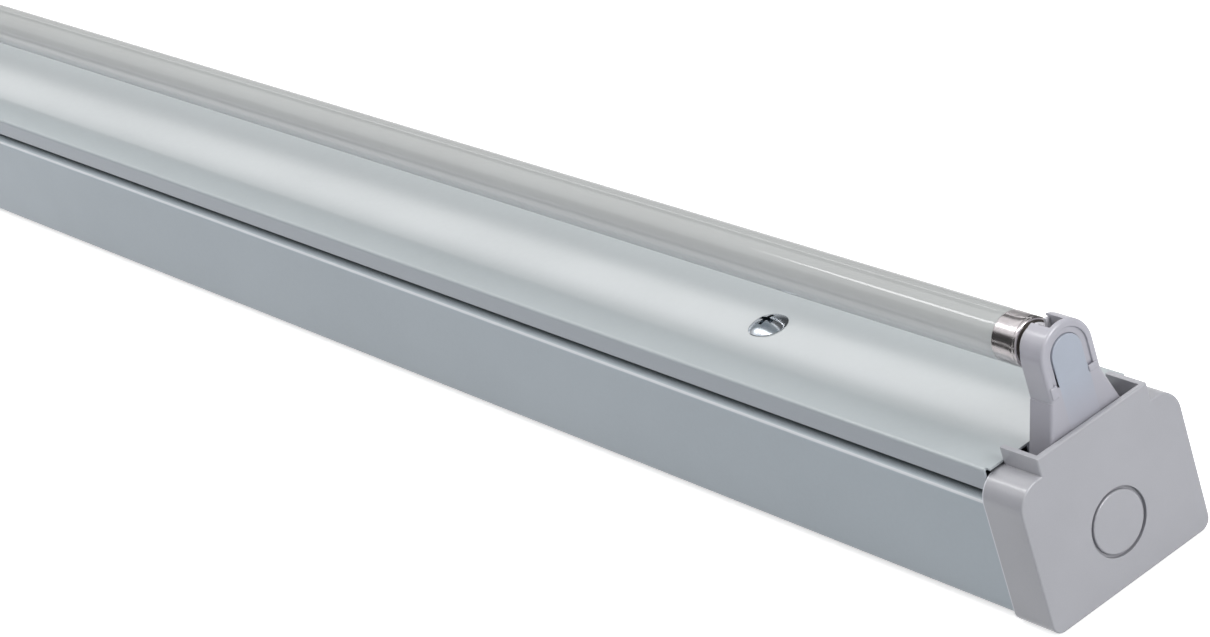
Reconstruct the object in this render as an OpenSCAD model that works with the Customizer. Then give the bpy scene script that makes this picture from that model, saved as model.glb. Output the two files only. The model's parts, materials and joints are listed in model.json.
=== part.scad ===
// Batten light for one T5 fluorescent tube, lying on its back as it is shown.
// X runs along the lamp, Z points from the mounting surface to the lamp, the origin is the middle of the back.
// A folded steel spine carries two moulded end caps. A folded gear tray lifts off the spine together with
// the ballast, the terminal block, the wiring, both lampholders and the lamp.
// The lamp stands at its insertion angle: its pins lie upright in the open slots of the two rotors.

/* [Lamp] */
// Length of the lamp between its cap faces
lamp_len = 1149; // [849:300:1449]
// Outer radius of the lamp
lamp_r = 8; // [7.6:0.1:8.4]
// Height of the lamp axis above the back
lamp_z = 79; // [77:0.5:83]
// Wall of the glass tube
glass_t = 0.8; // [0.6:0.1:1.2]
// Length of a metal lamp cap
lamp_cap_len = 10; // [8:0.5:13]
// Wall of a metal lamp cap
lamp_cap_t = 0.3; // [0.2:0.05:0.5]
// Thickness of the insulating disc that holds the pins
disc_t = 1.4; // [1:0.1:2]
// Radius of a lamp pin
pin_r = 1.175; // [1.1:0.025:1.25]
// Length of a lamp pin outside its cap
pin_len = 7; // [6.6:0.1:7.6]
// Distance between the two pins of a cap
pin_pitch = 5; // [4.7:0.05:5.2]
// Length of the glass stem that carries an electrode
stem_len = 24; // [18:1:34]
// Length of the coiled electrode
coil_len = 8; // [6:0.5:9]

/* [Spine] */
// Thickness of the folded steel sheets
sheet_t = 0.7; // [0.5:0.1:0.9]
// Half of the spine's outer width
spine_half = 31.9; // [31:0.1:34]
// Height of the ledge on top of each side wall
ledge_z = 42; // [40:0.5:43]
// Outer bend radius along the back
back_bend_r = 2.6; // [1.5:0.1:4]
// Outer bend radius along the ledge
ledge_bend_r = 1.8; // [1.2:0.1:3]
// Gap between the spine's end and the end cap's face wall
spine_end_gap = 0.4; // [0.2:0.1:1]
// Distance between the two fixing slots
slot_pitch = 650; // [500:10:700]
// Width of a fixing slot
slot_w = 5.5; // [4.5:0.5:7]
// Length of a fixing slot
slot_len = 20; // [14:1:26]
// Length of the raised pad round a fixing slot
pad_len = 44; // [36:1:60]
// Width of the raised pad round a fixing slot
pad_w = 24; // [18:1:30]
// Distance of the cable entry from the middle
entry_x = 130; // [110:5:150]
// Radius of the hole for the grommet
entry_r = 10; // [8:0.5:11]
// Distance between the two conduit box holes
box_pitch = 51; // [45:1:60]
// Radius of a conduit box hole
box_hole_r = 2.3; // [2:0.1:2.6]

/* [Gear tray] */
// Half of the tray's outer width
tray_half = 29.4; // [29:0.1:30]
// Height of the tray's top
tray_z = 52.1; // [52:0.1:54]
// Depth of the tray's side flanges
tray_skirt = 7.7; // [6:0.1:8.5]
// Outer bend radius along the tray's edges
tray_bend_r = 1.2; // [0.9:0.1:2]
// Gap at the ends of the tray's flanges and round the collar
tray_fit = 0.3; // [0.2:0.1:0.5]
// How far the spine's upstands stand inside the tray's flanges
upstand_in = 1.9; // [0.3:0.1:2.4]
// Distance of the tray's end from the face of the end cap
tray_inset = 16.2; // [16:0.1:17]
// Width of the end flange that carries a lampholder
bracket_w = 26; // [22:1:32]
// Distance of a tray fastener from the face of the end cap
fastener_inset = 153.5; // [120:0.5:180]

/* [End cap] */
// Wall of the cap round the spine
cap_wall = 1.2; // [1:0.1:1.6]
// Gap between the cap and the spine
cap_fit = 0.1; // [0.05:0.05:0.3]
// Thickness of the face wall
face_t = 1.8; // [1.6:0.1:2.2]
// Depth of the cap along the spine
cap_depth = 17.4; // [17:0.1:20]
// Height of the shoulders
shoulder_z = 50.7; // [49.5:0.1:51]
// Outer radius of the shoulders
shoulder_r = 8.5; // [6:0.5:9.5]
// Half of the outer width of the collar round the lampholder
collar_half = 22.9; // [21:0.1:24]
// Height of the collar
collar_z = 56.7; // [55:0.1:60]
// Wall of the collar
collar_t = 1.8; // [1.4:0.1:2.2]
// Radius of the conduit knockout
knockout_r = 10.1; // [9:0.1:12.5]
// Height of the knockout's centre
knockout_z = 21.2; // [19:0.1:25]
// Width of the groove round the knockout
groove_w = 1; // [0.6:0.1:1.4]
// Depth of the groove round the knockout
groove_deep = 1.2; // [0.4:0.1:1.3]

/* [Lampholder] */
// Gap between the face wall of the cap and the lampholder
holder_play = 0.9; // [0.5:0.1:1.4]
// Thickness of the lampholder along the lamp
holder_depth = 9.3; // [8.5:0.1:11]
// Half of the width of the lampholder's head, and the radius of its round top
head_half = 10.4; // [10:0.1:11.5]
// Distance from the lamp axis down to the flare of the neck
flare_drop = 11.6; // [11:0.1:14]
// Half of the width of the lampholder's foot
foot_half = 16.5; // [14:0.1:18]
// Height at which the flare ends
flare_end_z = 50; // [46:0.5:52]
// Height of the underside of the lampholder
foot_z = 34; // [31:0.5:37]
// Half of the width of the open slot in the head
mouth_half = 2.8; // [2.2:0.1:3.2]
// Thickness of the wall at the front of the slot
front_wall = 1.6; // [1.4:0.1:2.4]
// Half of the width of the inset cover
cover_half = 6; // [5.8:0.1:6.4]
// Thickness of the inset cover
cover_t = 1.1; // [0.9:0.1:1.3]
// Setback of the cover behind the lampholder's front
cover_set = 0.2; // [0:0.1:0.4]
// Outer radius of the groove round the cover
arch_r = 8.05; // [7.6:0.05:8.6]
// Depth of the groove round the cover
arch_deep = 0.8; // [0.4:0.1:1]
// Step on each side where the lampholder's neck flares
flare_step = 0.15; // [0.1:0.05:0.3]
// Radius of the rotor's flange
rotor_flange_r = 9.2; // [8.6:0.1:9.4]
// Thickness of the rotor's flange
rotor_flange_t = 1.2; // [1:0.1:1.6]
// Radius of the rotor's boss
rotor_boss_r = 6.5; // [6.2:0.1:7]
// Length of the rotor's boss
rotor_boss_len = 4.4; // [3.8:0.1:4.6]
// Wall of the rotor's boss
rotor_wall = 1.2; // [1:0.1:1.3]
// Width of the slot in the rotor
rotor_slot = 2.9; // [2.8:0.1:3.1]
// Running gap round the rotor
rotor_gap = 0.2; // [0.15:0.05:0.3]
// Gap between the rotor's boss and the lamp
lamp_play = 0.6; // [0.4:0.1:1]
// Thickness of the contact springs
contact_t = 0.4; // [0.3:0.05:0.5]

/* [Gear] */
// Length of the ballast
ballast_len = 280; // [200:10:300]
// Width of the ballast
ballast_w = 30; // [26:1:34]
// Height of the ballast
ballast_h = 20; // [16:1:24]
// Position of the ballast's middle
ballast_x = 110; // [100:5:120]
// Length of the ballast's fixing lugs
lug_len = 12; // [10:1:16]
// Width of a ballast terminal strip
strip_w = 24; // [22:1:26]
// Length of a ballast terminal strip
strip_len = 16; // [12:1:20]
// Radius of the weld studs
stud_r = 1.9; // [1.5:0.1:2]
// Width of a stud nut across its flats
nut_flats = 7; // [6:0.5:8]
// Height of a stud nut
nut_h = 3; // [2.4:0.2:3.4]
// Distance between neighbouring poles of the terminal block
pole_pitch = 9; // [8.6:0.2:10]
// Height of the terminal block
block_h = 14; // [12:1:18]
// Length of the terminal block along the lamp
block_len = 18; // [16:1:22]
// Clear distance between the terminal block and the ballast
block_gap = 42; // [34:1:50]
// Radius of a lead
lead_r = 0.9; // [0.7:0.1:1]
// Distance between the clips that hold the lamp leads
clip_pitch = 80; // [60:5:100]

/* [Fastener] */
// Radius of the fastener's domed head
fastener_r = 6.85; // [6:0.05:7.5]
// Height of the fastener's domed head
fastener_h = 2.6; // [2:0.1:3.4]
// Radius of the fastener's shank
shank_r = 2.3; // [2:0.1:2.5]
// Radius of the cross pin that locks the tray
lock_r = 1.25; // [1:0.05:1.3]
// Length of the cross pin
lock_len = 10; // [9:0.5:11]
// Height of the bridge that the cross pin hooks under
bridge_z = 39; // [36:0.5:40]
// Thickness of the bridge
bridge_t = 1; // [0.8:0.1:1.5]
// Length of the bridge along the spine
bridge_len = 24; // [20:1:30]
// Half of the width of the bridge's arch
bridge_half = 15; // [13:0.5:17]
// Width of each foot of the bridge
bridge_foot = 9; // [7:0.5:10]
// Radius of the rivets that hold a bridge
rivet_r = 1.5; // [1.2:0.1:1.8]

/* [Hidden] */
$fn = 64;
eps = 0.01;
seat_gap = 0.1;

// Places along the lamp, as distances from the face of the end cap
holder_front = face_t + holder_play;
holder_back = holder_front + holder_depth;
boss_face = holder_back + rotor_boss_len;
lamp_inset = boss_face + lamp_play;
half_len = lamp_len / 2 + lamp_inset;

// Spine
back_z = cap_wall + cap_fit;
floor_z = back_z + sheet_t;
spine_inner = spine_half - sheet_t;
upstand_half = tray_half - sheet_t - upstand_in;
tray_under = tray_z - sheet_t;
upstand_top = tray_under - seat_gap;
spine_end = half_len - face_t - spine_end_gap;
upstand_end = half_len - cap_depth - cap_fit - 0.2;
pad_r = 6;
grommet_r = entry_r / 2 - 0.25;

// End cap
cap_half = spine_half + cap_fit + cap_wall;
cap_bend_r = back_bend_r + cap_fit + cap_wall;
collar_back = tray_inset - tray_fit;
collar_inner = collar_half - collar_t;
clip_z = 22;
clip_h = 8;
clip_from = 10;
clip_to = 13;
barb = sheet_t + 0.2;
window_fit = 0.2;
rib_t = 1.2;
rib_len = 10;
rib_h = 9;
rib_lows = [6, 28];

// Gear tray
tray_end = half_len - tray_inset;
skirt_end = half_len - cap_depth - tray_fit;
bracket_drop = foot_z - sheet_t;
bracket_hole_r = 6;
bracket_hole_z = foot_z + 10;
weld_len = 12;
weld_gap = 0.02;
spigot_r = 2.4;
spigot_len = 2.3;
fastener_x = half_len - fastener_inset;
tray_hole_r = shank_r + 0.3;

// Lampholder
head_top = lamp_z + head_half;
flare_z = lamp_z - flare_drop;
arch_end_z = lamp_z - 8;
chamber_half = cover_half - 0.8;
rotor_bore_r = rotor_flange_r + rotor_gap;
rotor_bore_deep = rotor_flange_t + rotor_gap;
rotor_inner_r = rotor_boss_r - rotor_wall;
contact_y = pin_pitch / 2 + pin_r + 0.08;
contact_h = 3;
contact_w = 3;
contact_tip = 1.4;
contact_back = holder_back - rotor_bore_deep - 1.5;
cover_low = foot_z + 2.5;
contact_foot_z = cover_low + cover_half - chamber_half + 0.1;
lead_end_y = contact_y + contact_t / 2;

// Lamp
glass_end = lamp_len / 2 - disc_t - 0.4;
cap_seat = lamp_len / 2 - lamp_cap_len;
glass_neck_r = lamp_r - lamp_cap_t - 0.05;
cap_rim = 0.9;
stem_r = 2.6;
press_len = 6;
wire_r = 0.35;
wire_len = 6;
coil_r = 0.5;

// Gear
ballast_from = ballast_x - ballast_len / 2;
ballast_to = ballast_x + ballast_len / 2;
ballast_under = tray_under - ballast_h;
lug_t = 1;
lug_gap = 0.1;
stud_len = 9;
stud_collar = 0.5;
lug_top = tray_under - stud_collar - lug_gap;
lug_hole_r = stud_r + 0.3;
nut_gap = 0.15;
strip_h = 10.5;
strip_z = ballast_under + 0.4;
strip_lead_z = strip_z + strip_h / 2;
strip_depth = 4;
near_strip_x = ballast_to - lug_len;
far_strip_x = ballast_from + lug_len;
case_t = 0.6;
board_t = 1.6;
board_w = ballast_w - 2 * case_t - 0.4;
board_z = ballast_under + case_t + 2;
board_top = board_z + board_t;
board_room = lug_top - case_t - board_top;
board_from = far_strip_x + strip_len + 2;
board_to = near_strip_x - strip_len - 2;
lamp_entries = [2, 6];
mains_entries = [-9, -4.5, 0];
far_entries = [5, 9];
block_w = 3 * pole_pitch + 3;
block_to = ballast_from - block_gap;
block_x = block_to - block_len / 2;
terminal_r = 1.9;
pole_gap = 1.2;
block_under = lug_top - block_h;
block_lead_z = tray_under - 6;
earth_x = block_to - block_len - 20;
lead_sides = 8;
lead_run_z = tray_under - lead_r - 0.15;
lead_run_y = ballast_w / 2 + 3.4;
lead_step = 2 * lead_r + 0.5;
lead_straight = 16;
lead_rise = 20;
lead_drop = 40;
lead_low = 50;
clip_w = 2 * lead_step + 5;
clip_len = 6;
clip_roof = 1;
clip_clear = lead_straight + lead_rise - strip_depth + 2 * clip_len;

// Fastener
washer_t = 0.8;
washer_r = 5.2;
shank_tip = 2.4;
cross_len = 0.9 * fastener_r;
cross_w = 1.5;
cross_deep = 1.6;
lock_z = bridge_z - bridge_t - lock_r - 1;
bridge_slot_w = 2 * lock_r + 1.1;
bridge_slot_len = lock_len + 1.2;
rivet_hole_r = rivet_r + 0.05;
rivet_head_t = 0.8;
bridge_rivet_y = bridge_half + bridge_foot / 2;

// Placing and general shapes

// Children are drawn with the face of the near end cap at x = 0 and the lamp towards -X
module near_end() {
    translate([half_len, 0, 0]) children();
}

module far_end() {
    mirror([1, 0, 0]) near_end() children();
}

// Children lie in the Y-Z plane and are drawn out along X between two places
module along_x(from, to) {
    translate([from, 0, 0]) rotate([90, 0, 90]) linear_extrude(to - from) children();
}

// A round bar along X
module bar_x(from, to, r) {
    translate([from, 0, 0]) rotate([0, 90, 0]) cylinder(h = to - from, r = r);
}

// A box given by its two opposite corners
module block(low, high) {
    translate(low) cube(high - low);
}

// A section that is round at its lower and upper corners
module round_section(half, low, high, low_r, high_r) {
    union() {
        translate([-half, low + low_r]) square([2 * half, high - high_r - low - low_r]);
        translate([low_r - half, low]) square([2 * (half - low_r), high - low - high_r]);
        translate([high_r - half, low + low_r]) square([2 * (half - high_r), high - low - low_r]);
        for (side = [-1, 1]) {
            translate([side * (half - low_r), low + low_r]) circle(low_r);
            translate([side * (half - high_r), high - high_r]) circle(high_r);
        }
    }
}

// A flat shape with round ends, along X
module stadium(length, width) {
    square([length - width, width], center = true);
    for (side = [-1, 1]) translate([side * (length - width) / 2, 0]) circle(width / 2);
}

// A rectangle with round corners
module round_plate(length, width, r) {
    square([length - 2 * r, width], center = true);
    square([length, width - 2 * r], center = true);
    for (sx = [-1, 1]) {
        for (sy = [-1, 1]) translate([sx * (length / 2 - r), sy * (width / 2 - r)]) circle(r);
    }
}

// An arch that stands on a flat end, round the lamp axis
module arch_section(half, low) {
    translate([0, lamp_z]) circle(half);
    translate([-half, low]) square([2 * half, lamp_z - low]);
}

// A lead: rings of points along a route that never turns upright
function unit(v) = v / norm(v);
function route_dir(route, i) = unit(route[min(i + 1, len(route) - 1)] - route[max(i - 1, 0)]);
function side_of(dir) = unit(cross(dir, [0, 0, 1]));
function ring_at(p, dir, r) = [for (k = [0:lead_sides - 1])
    p + r * (cos(360 * k / lead_sides) * side_of(dir) + sin(360 * k / lead_sides) * cross(side_of(dir), dir))];

module lead(route, r) {
    rings = len(route);
    end_dir = [1, 0, 0];
    function ring_dir(i) = i == 0 || i == rings - 1 ? end_dir * sign(route[rings - 1][0] - route[0][0])
        : route_dir(route, i);
    points = [for (i = [0:rings - 1]) each ring_at(route[i], ring_dir(i), r)];
    sides = [for (i = [0:rings - 2], k = [0:lead_sides - 1])
        let (a = i * lead_sides + k, b = i * lead_sides + (k + 1) % lead_sides)
        each [[a, b, b + lead_sides], [a, b + lead_sides, a + lead_sides]]];
    first = [[for (k = [0:lead_sides - 1]) lead_sides - 1 - k]];
    last = [[for (k = [0:lead_sides - 1]) (rings - 1) * lead_sides + k]];
    polyhedron(points, concat(sides, first, last));
}

// Housing

module spine_section() {
    difference() {
        round_section(spine_half, back_z, ledge_z, back_bend_r, ledge_bend_r);
        round_section(spine_inner, floor_z, ledge_z - sheet_t, back_bend_r - sheet_t, ledge_bend_r - sheet_t);
        translate([-upstand_half + sheet_t, floor_z + back_bend_r])
            square([2 * (upstand_half - sheet_t), ledge_z]);
    }
}

module upstand_section() {
    for (side = [0, 1]) mirror([side, 0]) {
        translate([upstand_half - sheet_t, ledge_z - sheet_t])
            square([sheet_t, upstand_top - ledge_z + sheet_t]);
    }
}

// A raised pad, pressed out of the back so that the spine seats on the surface round its fixing
module pad_outside() {
    linear_extrude(floor_z) round_plate(pad_len, pad_w, pad_r);
}

module pad_inside() {
    translate([0, 0, sheet_t]) linear_extrude(floor_z)
        round_plate(pad_len - 2 * sheet_t, pad_w - 2 * sheet_t, pad_r - sheet_t);
    translate([0, 0, -eps]) linear_extrude(floor_z) stadium(slot_len, slot_w);
}

module spine() color("gainsboro") {
    difference() {
        union() {
            along_x(-spine_end, spine_end) spine_section();
            along_x(-upstand_end, upstand_end) upstand_section();
            for (side = [-1, 1]) translate([side * slot_pitch / 2, 0, 0]) pad_outside();
        }
        for (side = [-1, 1]) translate([side * slot_pitch / 2, 0, 0]) pad_inside();
        translate([-entry_x, 0, 0]) cylinder(h = floor_z + 1, r = entry_r);
        for (side = [-1, 1]) {
            translate([side * box_pitch / 2 - entry_x, 0, 0]) cylinder(h = floor_z + 1, r = box_hole_r);
        }
        for (end = [-1, 1]) translate([end * fastener_x, 0, 0]) bridge_rivet_places() {
            cylinder(h = floor_z + 1, r = rivet_hole_r);
        }
        for (end = [0, 1]) mirror([end, 0, 0]) near_end() clip_windows();
    }
}

// Windows in the side walls that the end cap's barbs snap into
module clip_windows() {
    for (side = [0, 1]) mirror([0, side, 0]) {
        block([-clip_to - window_fit, spine_inner - 1, clip_z - clip_h / 2 - window_fit],
            [-clip_from + window_fit, spine_half + 1, clip_z + clip_h / 2 + window_fit]);
    }
}

module cap_section(inset) {
    round_section(cap_half - inset, inset, shoulder_z - inset, cap_bend_r - inset, shoulder_r - inset);
}

module end_cap() {
    difference() {
        union() {
            along_x(-cap_depth, 0) cap_section(0);
            block([-collar_back, -collar_half, shoulder_z - cap_wall - 1], [0, collar_half, collar_z]);
        }
        along_x(-cap_depth - 1, -face_t) cap_section(cap_wall);
        block([-cap_depth - 1, -collar_inner, knockout_z], [-face_t, collar_inner, collar_z + 1]);
        knockout_groove();
    }
    for (side = [0, 1]) mirror([0, side, 0]) {
        cap_barb();
        for (low = rib_lows) grip_rib(low);
    }
}

module knockout_groove() {
    translate([-groove_deep, 0, knockout_z]) rotate([0, 90, 0]) difference() {
        cylinder(h = groove_deep + 1, r = knockout_r + groove_w);
        translate([0, 0, -1]) cylinder(h = groove_deep + 3, r = knockout_r);
    }
}

// A wedge on the inside of the skirt that snaps into the spine's window
module cap_barb() {
    skirt = spine_half + cap_fit;
    translate([0, 0, clip_z - clip_h / 2]) linear_extrude(clip_h)
        polygon([[-clip_to, skirt + eps], [-clip_to, skirt], [-clip_from, skirt - barb],
            [-clip_from, skirt + eps]]);
}

// A rib on the face wall that grips the side wall of the spine from within
module grip_rib(low) {
    outer = spine_inner - cap_fit;
    block([-face_t - rib_len, outer - rib_t, low], [-face_t + eps, outer, low + rib_h]);
}

module end_cap_near() color("lightgray") near_end() end_cap();
module end_cap_far() color("lightgray") far_end() end_cap();

// Two rivets through each foot of a bridge
module bridge_rivet_places() {
    for (sx = [-1, 1]) {
        for (sy = [-1, 1]) translate([sx * bridge_len / 4, sy * bridge_rivet_y, 0]) children();
    }
}

// An arched strap on the back of the spine. The cross pin of a fastener drops through its slot.
module fastener_bridge() {
    difference() {
        along_x(-bridge_len / 2, bridge_len / 2) union() {
            translate([-bridge_half, bridge_z - bridge_t]) square([2 * bridge_half, bridge_t]);
            for (side = [0, 1]) mirror([side, 0]) {
                translate([bridge_half - bridge_t, floor_z]) square([bridge_t, bridge_z - floor_z]);
                translate([bridge_half - bridge_t, floor_z]) square([bridge_foot + bridge_t, bridge_t]);
            }
        }
        translate([0, 0, bridge_z - bridge_t - 1]) linear_extrude(bridge_t + 2) {
            stadium(bridge_slot_len, bridge_slot_w);
            circle(shank_r + 0.5);
        }
        bridge_rivet_places() translate([0, 0, floor_z - 1]) cylinder(h = bridge_t + 2, r = rivet_hole_r);
    }
}

module fastener_bridge_near() color("silver") translate([fastener_x, 0, 0]) fastener_bridge();
module fastener_bridge_far() color("silver") translate([-fastener_x, 0, 0]) fastener_bridge();

module rivet() {
    translate([0, 0, back_z - rivet_head_t]) cylinder(h = rivet_head_t, r = 2 * rivet_r);
    translate([0, 0, back_z - eps]) cylinder(h = sheet_t + bridge_t + 2 * eps, r = rivet_r);
    translate([0, 0, floor_z + bridge_t]) cylinder(h = rivet_head_t, r1 = 2 * rivet_r, r2 = 1.5 * rivet_r);
}

module bridge_rivets() color("darkgray") {
    for (end = [-1, 1]) translate([end * fastener_x, 0, 0]) bridge_rivet_places() rivet();
}

// A rubber bush that snaps into the hole in the spine
module cable_grommet() color("dimgray") {
    rim = entry_r + 2;
    neck = entry_r - 0.05;
    low = back_z - 1.1;
    high = floor_z + 4.5;
    fit = 0.02;
    translate([-entry_x, 0, 0]) rotate_extrude() polygon([
        [grommet_r, low], [rim, low], [rim, back_z - fit], [neck, back_z - fit], [neck, floor_z + fit],
        [rim, floor_z + fit], [rim - 1, floor_z + 1.6], [grommet_r + 1.5, high], [grommet_r, high]]);
}

// Gear tray

module tray_section() {
    low = tray_z - 2 * tray_skirt;
    difference() {
        round_section(tray_half, low, tray_z, tray_bend_r, tray_bend_r);
        round_section(tray_half - sheet_t, low - 1, tray_under, tray_bend_r, tray_bend_r - sheet_t);
        translate([-tray_half - 1, low - 2]) square([2 * tray_half + 2, tray_skirt + 2]);
    }
}

// A folded bracket, welded under the end of the tray, that the lampholder stands on
module holder_bracket() {
    back = -tray_inset - sheet_t;
    top = tray_under - weld_gap;
    difference() {
        union() {
            block([back, -bracket_w / 2, bracket_drop], [-tray_inset, bracket_w / 2, top]);
            block([back, -bracket_w / 2, bracket_drop], [-holder_front - 1, bracket_w / 2, foot_z]);
            block([back - weld_len, -bracket_w / 2, top - sheet_t], [-tray_inset, bracket_w / 2, top]);
        }
        translate([0, 0, bracket_hole_z]) bar_x(back - 1, -tray_inset + 1, bracket_hole_r);
        spigot_place() cylinder(h = 4, r = spigot_r + 0.1, center = true);
    }
}

module holder_bracket_near() color("whitesmoke") near_end() holder_bracket();
module holder_bracket_far() color("whitesmoke") far_end() holder_bracket();

module spigot_place() {
    translate([-(holder_front + holder_back) / 2, 0, foot_z]) children();
}

module gear_tray() color("whitesmoke") {
    difference() {
        union() {
            along_x(-skirt_end, skirt_end) tray_section();
            block([-tray_end, -tray_half + tray_bend_r, tray_under], [tray_end, tray_half - tray_bend_r, tray_z]);
        }
        for (end = [-1, 1]) {
            translate([end * fastener_x, 0, tray_under - 1]) cylinder(h = sheet_t + 2, r = tray_hole_r);
        }
    }
}

// Places of the weld studs on the underside of the tray
module lug_places() {
    for (x = [ballast_from + lug_len / 2, ballast_to - lug_len / 2]) translate([x, 0, 0]) children();
}

module block_places() {
    for (side = [-1, 1]) translate([block_x, side * pole_pitch / 2, 0]) children();
}

module earth_place() {
    translate([earth_x, 0, 0]) children();
}

module stud(length) {
    translate([0, 0, tray_under - length]) cylinder(h = length, r = stud_r);
    translate([0, 0, tray_under - stud_collar]) cylinder(h = stud_collar, r = stud_r + 0.5);
}

module weld_studs() color("silver") {
    lug_places() stud(stud_len);
    block_places() stud(tray_under - block_under + nut_gap + nut_h);
    earth_place() stud(stud_len);
}

// A nut screwed up to a seat at the given height
module nut(seat) {
    translate([0, 0, seat - nut_gap - nut_h]) difference() {
        cylinder(h = nut_h, d = nut_flats / cos(30), $fn = 6);
        translate([0, 0, -1]) cylinder(h = nut_h + 2, r = stud_r + 0.05);
    }
}

module stud_nuts() color("silver") {
    lug_places() nut(lug_top - lug_t);
    block_places() nut(block_under);
    earth_place() nut(lug_top - lug_t);
}

// A folded case that ends in two flat lugs, which slip over the studs
module ballast_case() color("white") {
    difference() {
        union() {
            along_x(far_strip_x, near_strip_x) case_section(0);
            translate([ballast_x, 0, lug_top - lug_t]) linear_extrude(lug_t)
                round_plate(ballast_len, ballast_w - 8, 3);
        }
        lug_places() translate([0, 0, lug_top - lug_t - 1]) cylinder(h = lug_t + 2, r = lug_hole_r);
        strip_pockets(0);
        difference() {
            along_x(far_strip_x + case_t, near_strip_x - case_t) case_section(case_t);
            strip_pockets(case_t);
        }
        along_x(far_strip_x, near_strip_x) translate([-strip_w / 2 + 2, strip_z + 1])
            square([strip_w - 4, strip_h - 2]);
    }
}

module case_section(inset) {
    round_section(ballast_w / 2 - inset, ballast_under + inset, lug_top - inset, 1.5, 1.5);
}

// The two corners of the case that the terminal strips fill
module strip_pockets(wall) {
    reach = strip_len + seat_gap + wall;
    for (end = [0, 1]) translate([ballast_x, 0, 0]) mirror([end, 0, 0]) translate([far_strip_x - ballast_x, 0, 0])
        block([-1, -ballast_w, ballast_under - 1], [reach, ballast_w, strip_z + strip_h + seat_gap + wall]);
}

// The circuit board lies between the terminal strips and just clears the walls of the case
module ballast_board() color("seagreen") {
    block([board_from, -board_w / 2, board_z], [board_to, board_w / 2, board_z + board_t]);
}

// The coils, the capacitors and the cooled transistors on the board. Each place is a fraction of the board,
// and each height a fraction of the room above it.
module ballast_components() color("black") {
    ring_r = 0.32 * board_w;
    can_r = 0.42 * board_room;
    for (at = [0.1, 0.56]) translate([board_place(at), 0, board_top]) cylinder(h = 0.7 * board_room, r = ring_r);
    component(0.17, 0.27, 0.34, 0.75);
    translate([0, 0, board_top + can_r]) bar_x(board_place(0.32), board_place(0.46), can_r);
    component(0.65, 0.67, 0.4, 0.85);
    component(0.73, 0.84, 0.36, 0.9);
    component(0.88, 0.94, 0.26, 0.7);
}

module component(from, to, half, high) {
    block([board_place(from), -half * board_w, board_top],
        [board_place(to), half * board_w, board_top + high * board_room]);
}

function board_place(at) = board_from + at * (board_to - board_from);

// A strip of push-in terminals, with an entry funnel for each lead and a release hole below it
module terminal_strip(entries) {
    entry_hole_r = lead_r + 0.15;
    funnel_deep = 1.2;
    difference() {
        block([0, -strip_w / 2, strip_z], [strip_len, strip_w / 2, strip_z + strip_h]);
        for (y = entries) {
            translate([0, y, strip_lead_z]) {
                bar_x(-1, strip_depth + 2, entry_hole_r);
                translate([-eps, 0, 0]) rotate([0, 90, 0])
                    cylinder(h = funnel_deep, r1 = entry_hole_r + 0.8, r2 = entry_hole_r);
            }
            translate([strip_len / 2, y, strip_z - 1]) cylinder(h = 4, r = 1);
        }
    }
}

module ballast_terminals_near() color("orange") {
    translate([near_strip_x, 0, 0]) mirror([1, 0, 0]) terminal_strip(lamp_entries);
}

module ballast_terminals_far() color("orange") {
    translate([far_strip_x, 0, 0]) terminal_strip(concat(mains_entries, far_entries));
}

// Three poles side by side. Each has a clamping screw for each of its two leads.
module terminal_block() color("ivory") {
    difference() {
        block([block_to - block_len, -block_w / 2, block_under], [block_to, block_w / 2, lug_top]);
        for (pole = [-1:1]) {
            translate([0, pole * pole_pitch, block_lead_z])
                bar_x(block_to - block_len - 1, block_to + 1, terminal_r);
        }
        terminal_places() cylinder(h = block_lead_z - block_under + 1, r = terminal_r);
        for (pole = [-1:0]) {
            gap_y = (pole + 0.5) * pole_pitch;
            block([block_to - block_len - 1, gap_y - pole_gap / 2, block_under - 1],
                [block_to + 1, gap_y + pole_gap / 2, block_under + pole_gap]);
        }
        block_places() translate([0, 0, block_under - 1]) cylinder(h = block_h + 2, r = stud_r + 0.1);
    }
}

// Children are drawn below each clamping screw, from the underside of the block up
module terminal_places() {
    for (pole = [-1:1]) {
        for (side = [-1, 1]) {
            translate([block_x + side * block_len / 4, pole * pole_pitch, block_under - 1]) children();
        }
    }
}

module terminal_screws() color("silver") {
    low = 1.8;
    high = block_lead_z - lead_r - 0.1 - block_under + 1;
    screw_slot_w = 0.6;
    screw_slot_deep = 0.7;
    terminal_places() difference() {
        translate([0, 0, low]) cylinder(h = high - low, r = terminal_r - 0.1);
        translate([0, 0, low]) cube([2 * terminal_r, screw_slot_w, 2 * screw_slot_deep], center = true);
    }
}

// A ring tag under the earth nut, with the barrel that the supply's earth lead is crimped into
module earth_tag() color("gold") {
    barrel_from = -20;
    barrel_to = -12;
    barrel_z = lug_t - lead_r - 0.4;
    neck_w = 3.2;
    translate([earth_x, 0, lug_top - lug_t]) difference() {
        union() {
            linear_extrude(lug_t) {
                circle(stud_r + 2.4);
                translate([barrel_to - 2, -neck_w / 2]) square([-barrel_to, neck_w]);
            }
            translate([0, 0, barrel_z]) bar_x(barrel_from, barrel_to, lead_r + 0.4);
        }
        translate([0, 0, -1]) cylinder(h = lug_t + 2, r = lug_hole_r);
        translate([0, 0, barrel_z]) bar_x(barrel_from - 1, barrel_to - 1, lead_r + 0.05);
    }
}

module fastener_washers() color("dimgray") {
    for (end = [-1, 1]) translate([end * fastener_x, 0, tray_under - washer_t]) difference() {
        cylinder(h = washer_t, r = washer_r);
        translate([0, 0, -1]) cylinder(h = washer_t + 2, r = shank_r + 0.15);
    }
}

// Lampholders

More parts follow.
